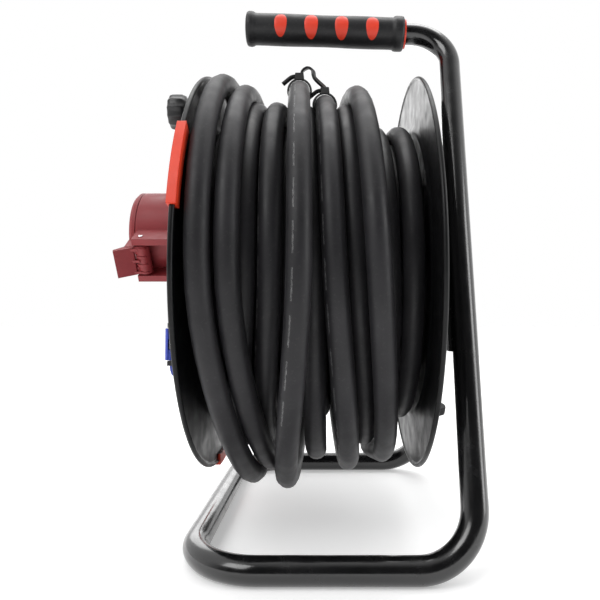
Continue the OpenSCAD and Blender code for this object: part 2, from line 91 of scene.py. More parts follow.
camera_data = bpy.data.cameras.new("camera")
camera = bpy.data.objects.new("camera", camera_data)
bpy.context.scene.collection.objects.link(camera)
camera.location = world((12.3, -494.0, -33.1))
camera.rotation_euler = (math.radians(93.0), 0.0, 0.0)
camera_data.lens = 34.34
camera_data.shift_x = -0.0482
camera_data.shift_y = -0.0315
camera_data.clip_start = 0.01
bpy.context.scene.camera = camera


def soft_light(name, place, size, power):
    """A rectangular lamp that faces the middle of the reel."""
    data = bpy.data.lights.new(name, "AREA")
    data.shape = "RECTANGLE"
    data.size, data.size_y = size
    data.energy = power
    lamp = bpy.data.objects.new(name, data)
    bpy.context.scene.collection.objects.link(lamp)
    lamp.location = place
    lamp.rotation_euler = (LIT_POINT - Vector(place)).to_track_quat("-Z", "Y").to_euler()


LIT_POINT = Vector((0.0, 0.0, 0.2))
soft_light("key_light", (-0.9, -1.1, 1.3), (0.9, 0.9), 13.0)
soft_light("side_light", (1.5, -0.5, 0.6), (0.5, 1.2), 8.0)
soft_light("top_light", (0.0, 0.3, 1.7), (1.4, 0.9), 14.0)
soft_light("back_light", (-0.4, 1.6, 0.9), (1.6, 0.8), 9.0)


WHITE = (1.0, 1.0, 1.0, 1.0)


def studio_world():
    """White studio walls and ceiling, and a dark side behind the photographer."""
    sky = bpy.data.worlds.new("studio")
    sky.use_nodes = True
    tree = sky.node_tree
    backdrop = tree.nodes["Background"]
    backdrop.inputs["Color"].default_value = WHITE
    backdrop.inputs["Strength"].default_value = 1.0
    direction = tree.nodes.new("ShaderNodeSeparateXYZ")
    tree.links.new(tree.nodes.new("ShaderNodeTexCoord").outputs["Generated"],
                   direction.inputs["Vector"])
    front = tree.nodes.new("ShaderNodeMapRange")
    front.interpolation_type = "SMOOTHSTEP"
    front.inputs["From Min"].default_value = -0.75
    front.inputs["From Max"].default_value = -0.1
    front.inputs["To Min"].default_value = 0.05
    front.inputs["To Max"].default_value = 1.0
    tree.links.new(direction.outputs["Y"], front.inputs["Value"])
    lit = tree.nodes.new("ShaderNodeBackground")
    lit.inputs["Color"].default_value = WHITE
    tree.links.new(front.outputs["Result"], lit.inputs["Strength"])
    seen = tree.nodes.new("ShaderNodeLightPath")
    choice = tree.nodes.new("ShaderNodeMixShader")
    tree.links.new(seen.outputs["Is Camera Ray"], choice.inputs["Fac"])
    tree.links.new(lit.outputs["Background"], choice.inputs[1])
    tree.links.new(backdrop.outputs["Background"], choice.inputs[2])
    tree.links.new(choice.outputs["Shader"], tree.nodes["World Output"].inputs["Surface"])
    return sky


bpy.context.scene.world = studio_world()
bpy.context.scene.view_settings.view_transform = "Standard"


# ---------------------------------------------------------------- materials

def node(tree, kind, **settings):
    made = tree.nodes.new(kind)
    for key, value in settings.items():
        setattr(made, key, value)
    return made


def noise(tree, coords, scale, detail=3.0, rough=0.55):
    made = node(tree, "ShaderNodeTexNoise")
    made.inputs["Scale"].default_value = scale
    made.inputs["Detail"].default_value = detail
    made.inputs["Roughness"].default_value = rough
    tree.links.new(coords, made.inputs["Vector"])
    return made.outputs["Fac"]


def map_range(tree, value, low, high, from_low=0.3, from_high=0.7):
    made = node(tree, "ShaderNodeMapRange")
    made.inputs["From Min"].default_value = from_low
    made.inputs["From Max"].default_value = from_high
    made.inputs["To Min"].default_value = low
    made.inputs["To Max"].default_value = high
    tree.links.new(value, made.inputs["Value"])
    return made.outputs["Result"]


# Sockets of a colour Mix node, which share their names with its number and vector sockets
MIX_FIRST, MIX_SECOND, MIX_RESULT = 6, 7, 2


def mix_colour(tree, factor, first, second):
    """A colour between two; each is a tuple or an output."""
    made = node(tree, "ShaderNodeMix", data_type="RGBA")
    tree.links.new(factor, made.inputs["Factor"])
    for index, colour in ((MIX_FIRST, first), (MIX_SECOND, second)):
        if isinstance(colour, tuple):
            made.inputs[index].default_value = (*colour, 1.0)
        else:
            tree.links.new(colour, made.inputs[index])
    return made.outputs[MIX_RESULT]


def shade(colour, factor):
    """The colour made lighter or darker."""
    return tuple(min(1.0, channel * factor) for channel in colour)


# Sizes of the patterns, as features per metre, and how far the gloss varies
MOTTLE_SCALE, SPECK_SCALE, GLOSS_SCALE, WAVE_SCALE = 28.0, 420.0, 75.0, 160.0
GLOSS_SPREAD = 0.08
DUST = (0.32, 0.31, 0.3)


def finish_material(name, colour, rough, metallic=0.0, coat=0.0, mottle=0.25, grain=900.0,
                    grain_mm=0.02, wave=0.0, dust=0.0, edge_mm=0.0, streaks=0.0,
                    specular=0.5):
    """A procedural finish with mottled colour, dust, uneven gloss, fine grain and soft edges."""
    made = bpy.data.materials.new(name)
    made.use_nodes = True
    tree = made.node_tree
    shader = tree.nodes["Principled BSDF"]
    coords = node(tree, "ShaderNodeTexCoord").outputs["Object"]
    if streaks:
        stretch = node(tree, "ShaderNodeMapping")
        stretch.inputs["Scale"].default_value = (streaks, 1.0, 1.0)
        tree.links.new(coords, stretch.inputs["Vector"])
        fine = noise(tree, stretch.outputs["Vector"], grain)
    else:
        fine = noise(tree, coords, grain)
    broad = noise(tree, coords, MOTTLE_SCALE, 4.0)
    base = mix_colour(tree, map_range(tree, broad, 0.0, 1.0),
                      shade(colour, 1.0 - mottle), shade(colour, 1.0 + mottle))
    if dust:
        specks = map_range(tree, noise(tree, coords, SPECK_SCALE, 6.0, 0.7), 0.0, dust, 0.56,
                           0.72)
        base = mix_colour(tree, specks, base, DUST)
    tree.links.new(base, shader.inputs["Base Color"])
    uneven = map_range(tree, noise(tree, coords, GLOSS_SCALE, 5.0), rough - GLOSS_SPREAD,
                       rough + GLOSS_SPREAD)
    tree.links.new(uneven, shader.inputs["Roughness"])
    shader.inputs["Metallic"].default_value = metallic
    shader.inputs["Coat Weight"].default_value = coat
    shader.inputs["Coat Roughness"].default_value = 0.12
    shader.inputs["Specular IOR Level"].default_value = specular
    bump = node(tree, "ShaderNodeBump")
    bump.inputs["Strength"].default_value = 0.6
    bump.inputs["Distance"].default_value = grain_mm * MM
    tree.links.new(fine, bump.inputs["Height"])
    normal = bump.outputs["Normal"]
    if edge_mm:
        soft = node(tree, "ShaderNodeBevel", samples=4)
        soft.inputs["Radius"].default_value = edge_mm * MM
        tree.links.new(soft.outputs["Normal"], bump.inputs["Normal"])
    if wave:
        peel = node(tree, "ShaderNodeBump")
        peel.inputs["Strength"].default_value = 0.5
        peel.inputs["Distance"].default_value = wave * MM
        tree.links.new(noise(tree, coords, WAVE_SCALE, 2.0), peel.inputs["Height"])
        tree.links.new(normal, peel.inputs["Normal"])
        normal = peel.outputs["Normal"]
    tree.links.new(normal, shader.inputs["Normal"])
    if coat:
        tree.links.new(normal, shader.inputs["Coat Normal"])
    return made


def printed_rubber():
    """Cable sheath: dull rubber with a fine line of pale printed dashes along it."""
    dashes_per_m, words_per_m, lines_per_m = 330.0, 37.0, 1.9
    word_part, line_part, half_band = 0.7, 0.8, 0.012
    made = finish_material("cable_rubber", (0.0125, 0.012, 0.0138), 0.5, specular=0.32,
                           mottle=0.25, grain=1500.0, grain_mm=0.03, wave=0.04, dust=0.05)
    tree = made.node_tree
    shader = tree.nodes["Principled BSDF"]
    sheath = node(tree, "ShaderNodeUVMap", uv_map="along").outputs["UV"]
    split = node(tree, "ShaderNodeSeparateXYZ")
    tree.links.new(sheath, split.inputs["Vector"])
    along, around = split.outputs["X"], split.outputs["Y"]

    def maths(kind, first, second=0.0):
        step = node(tree, "ShaderNodeMath", operation=kind)
        for socket, value in zip(step.inputs, (first, second)):
            if isinstance(value, float):
                socket.default_value = value
            else:
                tree.links.new(value, socket)
        return step.outputs["Value"]

    def part_of_run(runs_per_m, part):
        """1 over that part of each run along the cable, and 0 over the rest."""
        return maths("LESS_THAN", maths("FRACT", maths("MULTIPLY", along, runs_per_m)), part)

    dash = maths("LESS_THAN", noise(tree, sheath, dashes_per_m, 1.0), 0.49)
    word = part_of_run(words_per_m, word_part)
    line = part_of_run(lines_per_m, line_part)
    band = maths("LESS_THAN", maths("ABSOLUTE", maths("SUBTRACT", around, 0.5)), half_band)
    marks = maths("MULTIPLY", maths("MULTIPLY", dash, word), maths("MULTIPLY", line, band))
    worn = maths("MULTIPLY", marks, map_range(tree, noise(tree, sheath, 900.0), 0.25, 0.8))
    plain = shader.inputs["Base Color"].links[0].from_socket
    tree.links.new(mix_colour(tree, worn, plain, (0.26, 0.26, 0.26)), shader.inputs["Base Color"])
    return made


MATERIALS = {
    "frame_paint": finish_material("frame_paint", (0.004, 0.004, 0.0045), 0.22, coat=0.6,
                                   grain=700.0, wave=0.09, dust=0.03, edge_mm=0.6),
    "flange_paint": finish_material("flange_paint", (0.004, 0.004, 0.0045), 0.38, specular=0.22,
                                    grain=700.0, wave=0.08, dust=0.03),
    "core_paint": finish_material("core_paint", (0.018, 0.018, 0.02), 0.4, coat=0.2, wave=0.08,
                                  edge_mm=0.4),
    "zinc_steel": finish_material("zinc_steel", (0.56, 0.57, 0.59), 0.3, metallic=1.0,
                                  streaks=0.2, grain=600.0, edge_mm=0.3),
    "spring_steel": finish_material("spring_steel", (0.5, 0.5, 0.52), 0.22, metallic=1.0),
    "bush_plastic": finish_material("bush_plastic", (0.05, 0.05, 0.055), 0.5, edge_mm=0.3),
    "grip_rubber": finish_material("grip_rubber", (0.008, 0.008, 0.009), 0.5, specular=0.4,
                                   grain=1100.0, grain_mm=0.06, dust=0.06),
    "accent_red": finish_material("accent_red", (0.7, 0.042, 0.015), 0.5, mottle=0.08,
                                  grain=1100.0, grain_mm=0.04, edge_mm=0.3),
    "clip_red": finish_material("clip_red", (0.66, 0.042, 0.013), 0.45, mottle=0.08, edge_mm=0.8,
                                grain_mm=0.03),
    "panel_black": finish_material("panel_black", (0.009, 0.009, 0.01), 0.46, grain=1300.0,
                                   grain_mm=0.06, edge_mm=1.0, dust=0.04),
    "knob_black": finish_material("knob_black", (0.009, 0.009, 0.01), 0.42, grain=1200.0,
                                  grain_mm=0.04, edge_mm=0.4, dust=0.04),
    "cee_red": finish_material("cee_red", (0.27, 0.032, 0.037), 0.46, mottle=0.1,
                               specular=0.35, grain=1000.0, grain_mm=0.04, edge_mm=0.8),
    "cee_carrier_red": finish_material("cee_carrier_red", (0.17, 0.025, 0.03), 0.5, mottle=0.12,
                                       edge_mm=0.4),
    "lid_blue": finish_material("lid_blue", (0.028, 0.055, 0.4), 0.36, mottle=0.1, grain=1000.0,
                                grain_mm=0.04, edge_mm=0.7),
    "socket_black": finish_material("socket_black", (0.009, 0.009, 0.01), 0.44, grain=1200.0,
                                    grain_mm=0.05, edge_mm=0.6),
    "gasket_rubber": finish_material("gasket_rubber", (0.02, 0.02, 0.022), 0.6, edge_mm=0.3),
    "brass": finish_material("brass", (0.72, 0.5, 0.2), 0.25, metallic=1.0, mottle=0.12,
                             edge_mm=0.2),
    "nickel": finish_material("nickel", (0.72, 0.7, 0.66), 0.16, metallic=1.0, mottle=0.06,
                              edge_mm=0.2),
    "button_red": finish_material("button_red", (0.55, 0.03, 0.02), 0.25, mottle=0.1,
                                  edge_mm=0.4),
    "terminal_white": finish_material("terminal_white", (0.72, 0.7, 0.63), 0.42, mottle=0.06,
                                      edge_mm=0.4),
    "lead_brown": finish_material("lead_brown", (0.2, 0.09, 0.03), 0.4, mottle=0.12),
    "cable_rubber": printed_rubber(),
    "tie_nylon": finish_material("tie_nylon", (0.005, 0.005, 0.0055), 0.3, mottle=0.2,
                                 edge_mm=0.3),
    "plug_black": finish_material("plug_black", (0.009, 0.009, 0.01), 0.45, grain=1200.0,
                                  grain_mm=0.05, edge_mm=0.6),
}

for row in frame["record"]["subparts"]:
    cad_mesh = frame["nodes"][row["node"]].data
    cad_mesh.materials.clear()
    cad_mesh.materials.append(MATERIALS[row["material_slot"]])


# ---------------------------------------------------------------- mesh helpers

def piece(name, points, faces, material, body, replaces=(), smooth=True, uv=None):
    """A new mesh piece from drum points in millimetres."""
    mesh = bpy.data.meshes.new(name)
    mesh.from_pydata([world(p) for p in points], [], faces)
    if uv:
        layer = mesh.uv_layers.new(name="along")
        for loop, value in zip(layer.data, uv):
            loop.uv = value
    mesh.validate()
    if smooth:
        mesh.shade_smooth()
    mesh.materials.append(MATERIALS[material])
    made = bpy.data.objects.new(name, mesh)
    bpy.context.scene.collection.objects.link(made)
    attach(made, body)
    if replaces:
        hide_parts(*replaces)
    return made


def crease(made, degrees=35.0):
    """Keeps the sharp edges of a smooth piece sharp."""
    made.data.set_sharp_from_angle(angle=math.radians(degrees))
    return made


def round_edges(made, width):
    """Rounds the piece's edges by width, in millimetres."""
    bevel = made.modifiers.new("round_edges", "BEVEL")
    bevel.width = width * MM
    bevel.segments = 3
    bevel.limit_method = "ANGLE"
    bevel.angle_limit = math.radians(35.0)
    bevel.harden_normals = True
    return made


def path_frames(points):
    """Directions along a path, and a side direction carried along it without twist."""
    count = len(points)
    courses = [(points[min(i + 1, count - 1)] - points[max(i - 1, 0)]).normalized()
               for i in range(count)]
    first = Vector((0.0, 0.0, 1.0)) if abs(courses[0].z) < 0.9 else Vector((1.0, 0.0, 0.0))
    side = (first - courses[0] * first.dot(courses[0])).normalized()
    sides = [side]
    for course in courses[1:]:
        side = (side - course * side.dot(course)).normalized()
        sides.append(side)
    return courses, sides


def sweep(points, section, closed=False, twist=None, scale=None):
    """Points and faces of a section carried along a path. The section is (side, up) pairs."""
    points = [Vector(p) for p in points]
    courses, sides = path_frames(points)
    ring = len(section)
    made = []
    for i, (place, course, side) in enumerate(zip(points, courses, sides)):
        turn = twist[i] if twist else 0.0
        size = scale[i] if scale else 1.0
        across = side * math.cos(turn) + course.cross(side) * math.sin(turn)
        up = course.cross(across)
        made.extend(place + (across * a + up * b) * size for a, b in section)
    spans = len(points) if closed else len(points) - 1
    faces = []
    for i in range(spans):
        j = (i + 1) % len(points)
        for k in range(ring):
            n = (k + 1) % ring
            faces.append((i * ring + k, i * ring + n, j * ring + n, j * ring + k))
    if not closed:
        faces.append(tuple(range(ring))[::-1])
        faces.append(tuple((len(points) - 1) * ring + k for k in range(ring)))
    return made, faces


def circle(radius, count):
    """Points of a round section."""
    return [(radius * math.cos(math.tau * k / count), radius * math.sin(math.tau * k / count))
            for k in range(count)]


def lathe(profile, place, steps=96, radius_of=None, closed=False):
    """Points and faces of a (radius, height) profile turned round the place's local Z."""
    made, faces = [], []
    for s in range(steps):
        angle = math.tau * s / steps
        for radius, height in profile:
            r = radius_of(radius, height, angle) if radius_of else radius
            made.append(place @ Vector((r * math.cos(angle), r * math.sin(angle), height)))
    ring = len(profile)
    last = ring if closed else ring - 1
    for s in range(steps):
        t = (s + 1) % steps
        for k in range(last):
            n = (k + 1) % ring
            faces.append((s * ring + k, t * ring + k, t * ring + n, s * ring + n))
    if not closed:
        faces.append(tuple(s * ring for s in range(steps))[::-1])
        faces.append(tuple(s * ring + ring - 1 for s in range(steps)))
    return made, faces


def turned(degrees, axis):
    return Matrix.Rotation(math.radians(degrees), 4, axis)


def along_axle(x):
    """A place on the axle whose local Z is to the right."""
    return Matrix.Translation((x, 0.0, 0.0)) @ turned(90.0, "Y")


def on_left(y, z, x, turn=0.0):
    """A place on the left face: local X is up, local Y is back and local Z is outwards."""
    return Matrix.Translation((-x, y, z)) @ turned(-90.0, "Y") @ turned(turn, "Z")


def smooth_path(points, step):
    """A Catmull-Rom curve through the points, with a point about every step."""
    points = [Vector(p) for p in points]
    padded = [points[0] * 2 - points[1]] + points + [points[-1] * 2 - points[-2]]
    path = []
    for a, b, c, d in zip(padded, padded[1:], padded[2:], padded[3:]):
        count = max(1, round((c - b).length / step))
        for i in range(count):
            t = i / count
            path.append(0.5 * (2 * b + (c - a) * t + (2 * a - 5 * b + 4 * c - d) * t * t
                               + (3 * b - a - 3 * c + d) * t ** 3))
    return path + [points[-1]]


def bent_path(corners, radii, step=4.0):
    """Straight runs joined by arcs, as a tube bender makes them."""
    corners = [Vector(c) for c in corners]
    path = [corners[0]]
    for before, corner, after, radius in zip(corners, corners[1:], corners[2:], radii):
        arrive, leave = (corner - before).normalized(), (after - corner).normalized()
        angle = arrive.angle(leave)
        inward = (leave - arrive * arrive.dot(leave)).normalized()
        centre = corner - arrive * radius * math.tan(angle / 2) + inward * radius
        count = max(6, round(radius * angle / step))
        for i in range(count + 1):
            turn = angle * i / count
            path.append(centre - inward * radius * math.cos(turn)
                        + arrive * radius * math.sin(turn))
    path.append(corners[-1])
    return path


# ---------------------------------------------------------------- cable

# Three packed layers: radius of each, turns across, and the part of a turn that climbs
LAYER_RADII = (85.2, 99.6, 114.0)
LAYER_TURNS = 8
CLIMB_TURNS = 0.6
# The turn at which the loose turns over them begin
FIRST_LOOSE = math.floor(len(LAYER_RADII) * (LAYER_TURNS + CLIMB_TURNS)) + 1
PACK_LEFT, PACK_RIGHT = -68.5, 69.0
# After the last layer the cable stays at the flange as far as the first angle, then rises in
# two steps: (turns after that, how far right, radius)
STAY_ANGLE = 300.0
RISE_STEPS = ((0.08, -9.0, 124.0), (0.16, -27.0, 130.5))
# Angles at which the loose turns are placed: over the top, front, bottom and back
TOP, FRONT, BOTTOM, BACK = 23.0, 90.0, 165.0, 270.0
# Each loose turn: (x, radius) at those angles, first moving left, then back to the right
LOOSE_TURNS = [
    ((25.0, 131.0), (30.0, 131.0), (40.0, 135.0), (8.0, 131.0)),
    ((-6.0, 131.0), (2.5, 131.0), (2.5, 146.0), (-12.0, 131.0)),
    ((-28.5, 133.0), (-25.5, 131.0), (-36.0, 137.0), (-34.0, 131.0)),
    ((-45.0, 132.5), (-42.5, 131.0), (-56.0, 136.0), (-68.5, 142.0)),
    ((-69.5, 154.0), (-67.5, 151.0), (-46.0, 163.5), (-49.5, 149.0)),
    ((-52.5, 146.0), (-50.0, 147.5), (-31.5, 154.0), (-27.0, 149.0)),
    ((-10.5, 149.0), (-5.5, 154.5), (-19.5, 167.5), (-8.0, 150.0)),
    ((9.2, 138.5), (15.8, 143.0), (27.0, 154.0), (11.5, 149.0)),
    ((34.0, 145.5), (42.5, 150.0), (53.5, 148.0)),
]
# The stretch from the bottom of the winding up to the plug, as in the CAD model
TAIL_ROUTE = [
    (49, 20, -153), (49, 40, -153), (49, 58, -152), (49, 76, -149), (49, 92, -143),
    (49, 107, -134), (49, 120, -124), (49, 131, -112), (49, 140, -98), (49, 147, -82),
    (49, 151, -66), (49, 151, -56)]
POINTS_PER_TURN = 48


def winding_keys():
    """(turns, x, radius) places that the winding passes through."""
    keys = []
    turns, x = 0.0, PACK_LEFT
    for layer, radius in enumerate(LAYER_RADII):
        far = PACK_RIGHT if layer % 2 == 0 else PACK_LEFT
        for i in range(LAYER_TURNS + 1):
            keys.append((turns + i, x + (far - x) * i / LAYER_TURNS, radius))
        turns, x = turns + LAYER_TURNS + CLIMB_TURNS, far
    stay_end = FIRST_LOOSE - 1 + STAY_ANGLE / 360
    keys.append((stay_end, x, LAYER_RADII[-1]))
    keys += [(stay_end + turn, x + move, radius) for turn, move, radius in RISE_STEPS]
    for i, loop in enumerate(LOOSE_TURNS):
        for degrees, (x, radius) in zip((TOP, FRONT, BOTTOM, BACK), loop):
            keys.append((FIRST_LOOSE + i + degrees / 360, x, radius))
    return keys


def eased(keys, turns):
    """x and radius at that turn, along monotone cubic pieces between the keys."""
    index = max(0, min(len(keys) - 2, sum(1 for key in keys if key[0] <= turns) - 1))
    a, b = keys[index], keys[index + 1]
    span = b[0] - a[0]
    t = min(1.0, max(0.0, (turns - a[0]) / span))

    def slope(i, column):
        if i <= 0 or i >= len(keys) - 1:
            return 0.0
        before = (keys[i][column] - keys[i - 1][column]) / (keys[i][0] - keys[i - 1][0])
        after = (keys[i + 1][column] - keys[i][column]) / (keys[i + 1][0] - keys[i][0])
        return 0.0 if before * after <= 0 else 2 * before * after / (before + after)

    values = []
    for column in (1, 2):
        p, q = a[column], b[column]
        m, n = slope(index, column) * span, slope(index + 1, column) * span
        values.append(p * (2 * t ** 3 - 3 * t * t + 1) + m * (t ** 3 - 2 * t * t + t)
                      + q * (3 * t * t - 2 * t ** 3) + n * (t ** 3 - t * t))
    return values


KEYS = winding_keys()


def wound(turns):
    """The cable's centre after that many turns, starting at the top and running forwards."""
    x, radius = eased(KEYS, turns)
    angle = math.tau * turns
    return Vector((x, -radius * math.sin(angle), radius * math.cos(angle)))


last_turn = KEYS[-1][0]
route = [wound(i / POINTS_PER_TURN) for i in range(int(last_turn * POINTS_PER_TURN))]
route += smooth_path([wound(last_turn), *TAIL_ROUTE], 6.0)
distances = [0.0]
for here, there in zip(route, route[1:]):
    distances.append(distances[-1] + (there - here).length)


def build_cable():
    sides = 18
    section = circle(CABLE_D / 2, sides)
    # The print wanders slowly round the sheath
    twist = [0.9 * math.sin(d / 610.0) + 0.35 * math.sin(d / 233.0) for d in distances]
    points, faces = sweep(route, section, twist=twist)
    uv = []
    for i in range(len(route) - 1):
        u, v = distances[i] * MM, distances[i + 1] * MM
        for k in range(sides):
            uv += [(u, k / sides), (u, (k + 1) / sides), (v, (k + 1) / sides), (v, k / sides)]
    uv += [(0.0, 0.0)] * (2 * sides)
    return piece("cable", points, faces, "cable_rubber", "drum",
                 replaces=("cable_winding", "cable_loose_turns", "cable_tail"), uv=uv)


cable = build_cable()


def build_gland():
    """Ribbed strain relief that brings the cable out of the core, in line with its first turn."""
    length = 26.0
    place = Matrix.Translation((PACK_LEFT, length, LAYER_RADII[0])) @ turned(90.0, "X")
    profile = [(8.4, 0.0), (9.6, 0.0), (9.6, 4.0)]
    for rib in range(5):
        start = 4.5 + rib * 4.2
        profile += [(9.5 - 0.2 * rib, start), (9.5 - 0.2 * rib, start + 2.4),
                    (8.7 - 0.1 * rib, start + 2.8), (8.7 - 0.1 * rib, start + 3.8)]
    profile += [(8.3, length), (8.1, length)]
    points, faces = lathe(profile, place, 40)
    return crease(piece("gland_boot", points, faces, "gasket_rubber", "drum",
                        replaces=("cable_gland",)))


def build_plug_boot():
    """Tapered, ringed strain relief below the plug."""
    reach = 34.0
    start = next(i for i, d in enumerate(distances) if d > distances[-1] - reach)
    path = smooth_path([*route[start:-1], TAIL_ROUTE[-1]], 1.0)
    count = len(path)
    scale = []
    for i in range(count):
        along = i / (count - 1)
        ripple = 0.35 if (i // 2) % 2 and 0.12 < along < 0.85 else 0.0
        scale.append(8.25 + 2.6 * along ** 1.4 + ripple)
    points, faces = sweep(path, circle(1.0, 32), scale=scale)
    return piece("plug_boot", points, faces, "gasket_rubber", "drum")


gland = build_gland()
plug_boot = build_plug_boot()


def strap(name, path, width, thick):
    """A flat nylon strap along a path."""
    half_w, half_t = width / 2, thick / 2
    section = [(-half_t, -half_w), (half_t, -half_w), (half_t, half_w), (-half_t, half_w)]
    points, faces = sweep(path, section)
    return round_edges(piece(name, points, faces, "tie_nylon", "drum", smooth=False), 0.35)


def tie_head(name, centre, axes, size):
    """The moulded block that holds a tie's strap, a little smaller at its outer end."""
    across, up, out = axes
    corners = []
    for i in (-1, 1):
        for j in (-1, 1):
            for k in (-1, 1):
                shrink = 0.86 if k > 0 else 1.0
                corners.append(centre + across * (i * size[0] / 2 * shrink)
                               + up * (j * size[1] / 2 * shrink) + out * (k * size[2] / 2))
    faces = [(0, 1, 3, 2), (4, 6, 7, 5), (0, 4, 5, 1), (2, 3, 7, 6), (0, 2, 6, 4), (1, 5, 7, 3)]
    return round_edges(piece(name, corners, faces, "tie_nylon", "drum", smooth=False), 0.6)


def cable_frame(turns):
    """Centre, course, outward and sideways directions of the cable at that turn."""
    centre = wound(turns)
    course = (wound(turns + 0.004) - wound(turns - 0.004)).normalized()
    outward = Vector((0.0, centre.y, centre.z)).normalized()
    outward = (outward - course * outward.dot(course)).normalized()
    return centre, course, outward, course.cross(outward)


def build_tie(name, turns, replaces=()):
    """A tie round one turn: the band, its head on top and the cut end standing to the left."""
    centre, course, outward, side = cable_frame(turns)
    radius = CABLE_D / 2 + 0.85
    steps = 40
    band = [centre + (outward * math.cos(math.tau * i / steps)
                      + side * math.sin(math.tau * i / steps)) * radius for i in range(steps)]
    points = []
    for i, place in enumerate(band):
        out = (place - centre).normalized()
        for a, b in ((-0.7, -2.5), (0.9, -2.5), (0.9, 2.5), (-0.7, 2.5)):
            points.append(place + out * a + course * b)
    faces = []
    for i in range(steps):
        j = (i + 1) % steps
        for k in range(4):
            n = (k + 1) % 4
            faces.append((i * 4 + k, i * 4 + n, j * 4 + n, j * 4 + k))
    ring = round_edges(piece(name + "_band", points, faces, "tie_nylon", "drum", smooth=False,
                             replaces=replaces), 0.3)
    head_at = centre + outward * (radius + 2.2)
    head = tie_head(name + "_head", head_at, (side, course, outward), (7.6, 6.6, 5.4))
    left = side if side.x < 0 else -side
    tail = smooth_path([head_at + left * 2.0, head_at + left * 6.0 - outward * 0.8,
                        head_at + left * 10.0 - outward * 3.6,
                        head_at + left * 13.0 - outward * 6.0], 1.0)
    end = strap(name + "_end", tail, 4.8, 1.8)
    return [ring, head, end], head_at


TIE_PLACE = 21.0 / 360
tie_a, head_a = build_tie("tie_a", FIRST_LOOSE + 6 + TIE_PLACE, replaces=("cable_tie",))
tie_b, head_b = build_tie("tie_b", FIRST_LOOSE + 7 + TIE_PLACE)
# A loose strap arches from the first tie's head over to the second's
arch = smooth_path([head_a + Vector((1.5, 0, 0.5)), head_a + Vector((2.6, -0.5, 4.0)),
                    head_a + Vector((6.5, -1.0, 6.2)), head_a + Vector((10.5, -1.5, 4.0)),
                    head_a + Vector((12.0, -1.5, -2.0)), head_b + Vector((-1.0, -0.5, 3.0)),
                    head_b + Vector((1.5, -0.5, 0.0))], 0.8)
tie_arch = strap("tie_arch", arch, 5.0, 1.9)


# ---------------------------------------------------------------- frame

POST_TOP = Vector((117.0, 0.0, GRIP_RISE))
HANDLE = Matrix.Translation(POST_TOP) @ turned(HANDLE_TILT, "Y")
HANDLE_END = HANDLE @ Vector((-173.0, 0.0, 0.0))
# Corners of the floor loop: its right and left sides, its half depth and its tube's height
LOOP_RIGHT, LOOP_LEFT, LOOP_HALF, LOOP_Z = 105.0, -80.0, 130.0, -194.0
FRONT_CORNER = Vector((LOOP_RIGHT, -LOOP_HALF, LOOP_Z))
REAR_CORNER = Vector((LOOP_RIGHT, LOOP_HALF, LOOP_Z))
LEFT_CORNERS = (LOOP_LEFT, -LOOP_HALF, LOOP_Z), (LOOP_LEFT, LOOP_HALF, LOOP_Z)
# The rear leg meets the post this far up it, as parts of the post's whole length
LEG_JOINT = FRONT_CORNER + (POST_TOP - FRONT_CORNER) * (279.0 / 404.0)
BEND_RADII = (32, 38, 48, 48, 38)
PLATE_FACE = 101.3


def build_frame():
    """Handle, post, floor loop and rear leg, as one bent tube."""
    corners = [HANDLE_END, POST_TOP, FRONT_CORNER, *LEFT_CORNERS, REAR_CORNER, LEG_JOINT]
    path = bent_path(corners, BEND_RADII, 3.0)
    points, faces = sweep(path, circle(TUBE_R, 40))
    piece("bent_tube", points, faces, "frame_paint", "frame",
          replaces=("carry_tube", "base_tube", "rear_leg"))


def build_weld(name, centre, axis, radius, seed):
    """A ring of weld bead, with the ripple of a hand-made weld."""
    rng = random.Random(seed)
    side = axis.orthogonal().normalized()
    up = axis.cross(side)
    steps = 72
    path = [centre + (side * math.cos(math.tau * i / steps) + up * math.sin(math.tau * i / steps))
            * radius for i in range(steps)]
    scale = [1.35 + 0.3 * math.cos(math.tau * i / 3) + rng.uniform(-0.08, 0.08)
             for i in range(steps)]
    points, faces = sweep(path, circle(1.0, 12), closed=True, scale=scale)
    piece(name, points, faces, "frame_paint", "frame")


build_frame()
leg_course = (LEG_JOINT - REAR_CORNER).normalized()
build_weld("leg_weld", LEG_JOINT - leg_course * 11.0, leg_course, TUBE_R + 0.2, seed=3)
build_weld("axle_weld", Vector((PLATE_FACE, 0.0, 0.0)), Vector((1.0, 0.0, 0.0)), 10.2, seed=5)


# ---------------------------------------------------------------- grip

GRIP_LEFT, GRIP_RIGHT, GRIP_R = -60.0, 78.0, 13.3


def build_grip():
    """Rubber grip with a collar at each end and a slightly wavy middle."""
    length = GRIP_RIGHT - GRIP_LEFT
    collar, steps = 7.4, 60
    profile = [(TUBE_R - 0.4, 0.6), (12.6, 0.0), (13.9, 0.6), (14.6, 2.0), (14.7, 4.4),
               (14.2, 6.2), (13.4, collar)]
    for i in range(1, steps):
        along = i / steps
        profile.append((GRIP_R - 0.05 - 0.25 * math.sin(math.pi * along) ** 6
                        + 0.2 * math.sin(math.pi * along * 2) ** 2,
                        collar + along * (length - 17.0)))
    profile += [(13.4, length - 9.6), (14.3, length - 8.6), (14.7, length - 7.0),
                (14.7, length - 2.6), (14.2, length - 0.8), (12.6, length),
                (TUBE_R - 0.4, length - 0.3)]
    place = HANDLE @ Matrix.Translation((GRIP_LEFT - POST_TOP.x, 0.0, 0.0)) @ turned(90.0, "Y")
    points, faces = lathe(profile, place, 72)
    piece("grip", points, faces, "grip_rubber", "frame", replaces=("handle_grip",))


